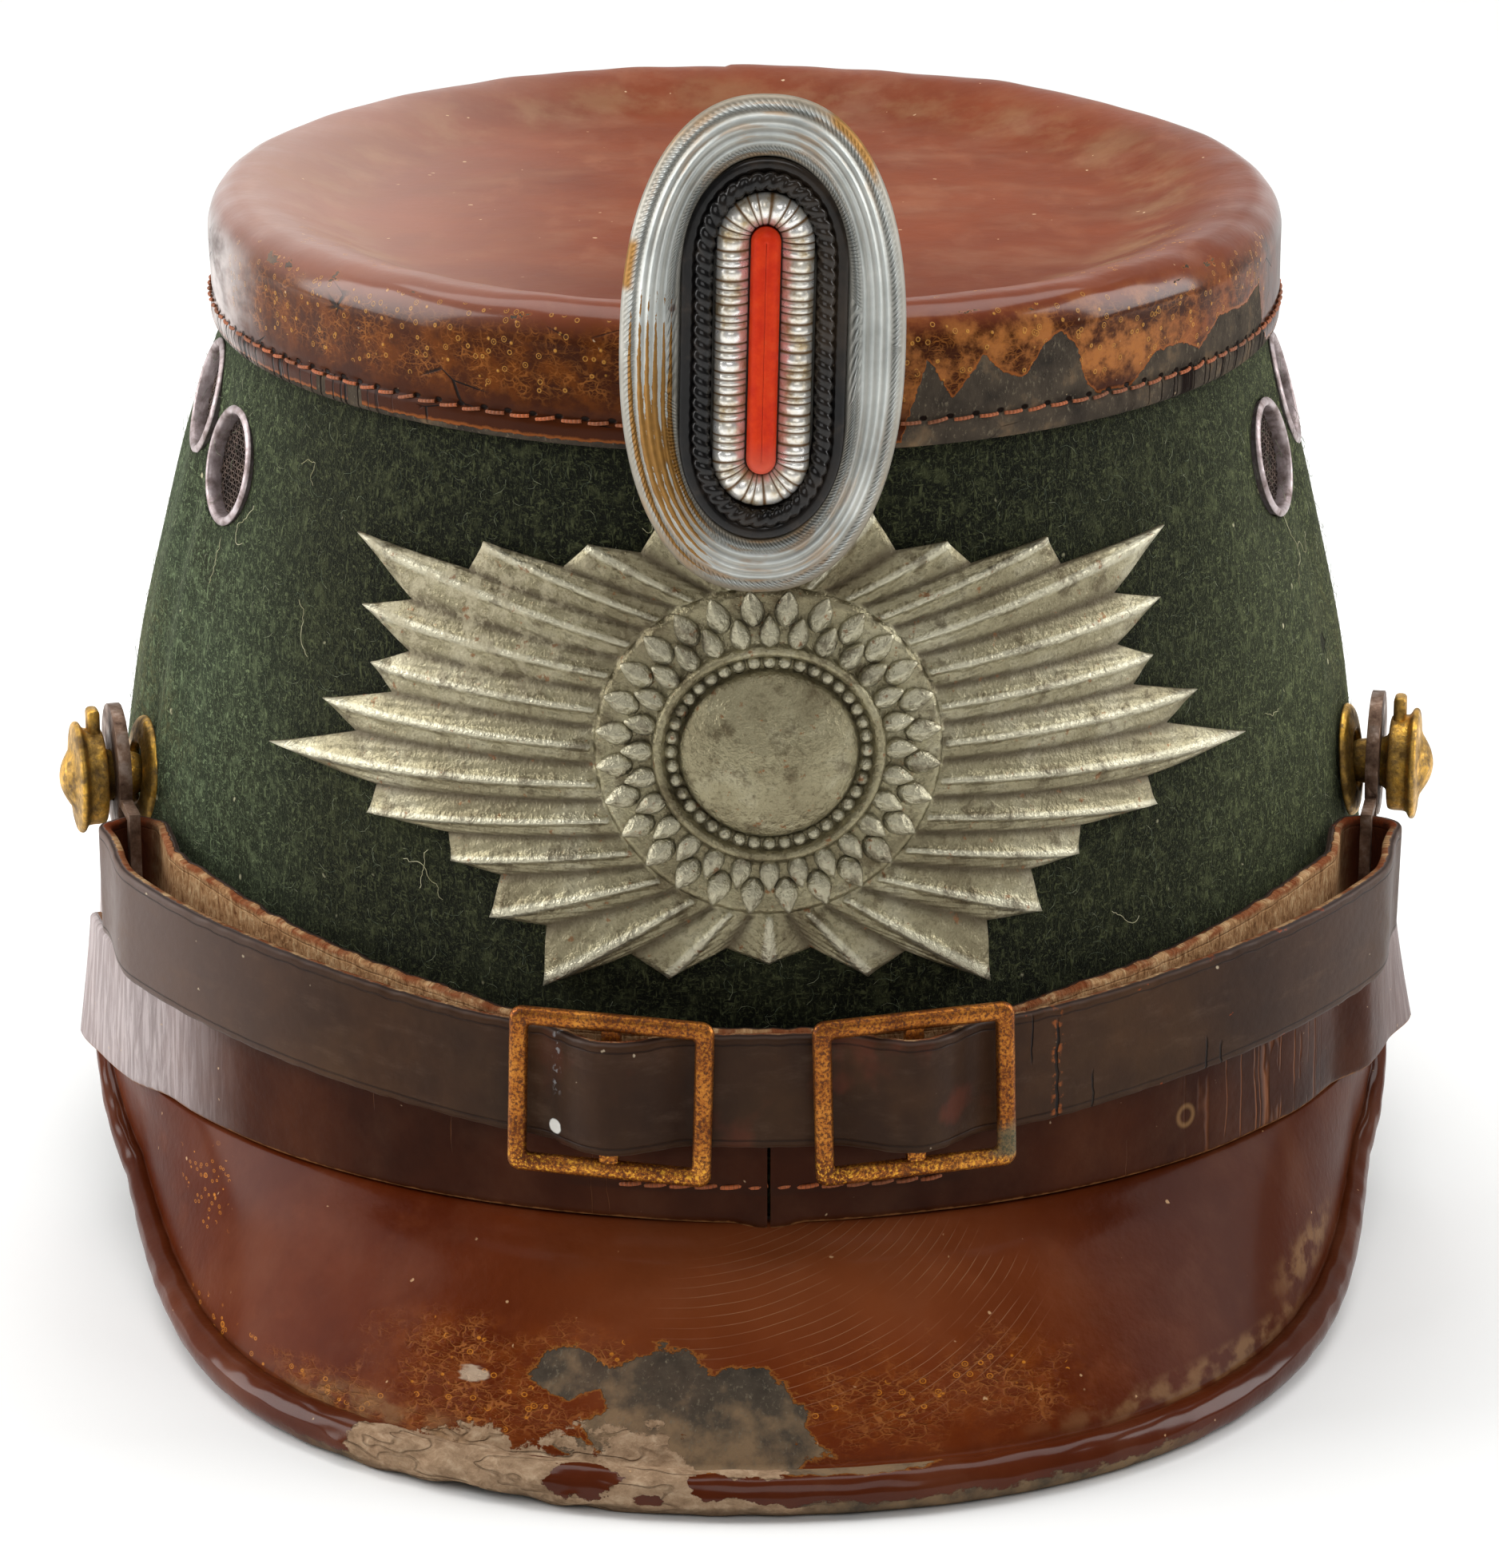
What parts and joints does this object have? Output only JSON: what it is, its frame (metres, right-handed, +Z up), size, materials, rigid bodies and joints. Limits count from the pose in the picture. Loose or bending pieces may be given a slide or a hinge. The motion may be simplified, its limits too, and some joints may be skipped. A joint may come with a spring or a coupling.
{
  "type": "shako hat",
  "caption": "Stiff tapered shako in green cloth with a lacquered leather crown, band and two peaks, a buckled chin strap, an oval cockade and a rayed front plate",
  "frame": {"origin": "On the floor under the middle of the bounding box, with the hat standing on the edges of its two peaks.", "axes": "+Z is up. The hat's front, with the cockade, faces -Y. +X is to the right in a view from the front."},
  "size_m": [0.1766, 0.2488, 0.1614],
  "materials": {
    "brown_lacquer": "glossy, worn",
    "green_cloth": "matt wool",
    "strap_leather": "satin",
    "aged_brass": "dull, worn",
    "dull_steel": "dull",
    "cast_white_metal": "aged casting",
    "cockade_silver": "satin",
    "black_paint": "satin",
    "red_paint": "matt"
  },
  "bodies": {
    "root": {"crown_cap": "brown_lacquer", "cloth_body": "green_cloth", "rear_band": "brown_lacquer", "front_band_left": "brown_lacquer", "front_band_right": "brown_lacquer", "front_peak": "brown_lacquer", "rear_peak": "brown_lacquer", "chin_strap": "strap_leather", "buckle_left": "aged_brass", "buckle_right": "aged_brass", "side_washer_left": "aged_brass", "side_washer_right": "aged_brass", "side_post_left": "aged_brass", "side_post_right": "aged_brass", "strap_lug_left": "dull_steel", "strap_lug_right": "dull_steel", "vent_left_front": "dull_steel", "vent_left_rear": "dull_steel", "vent_right_front": "dull_steel", "vent_right_rear": "dull_steel", "front_plate": "cast_white_metal", "cockade_plate": "cockade_silver", "cockade_gimp_ring": "cockade_silver", "cockade_cord_ring": "black_paint", "cockade_centre": "red_paint"}
  },
  "joints": []
}
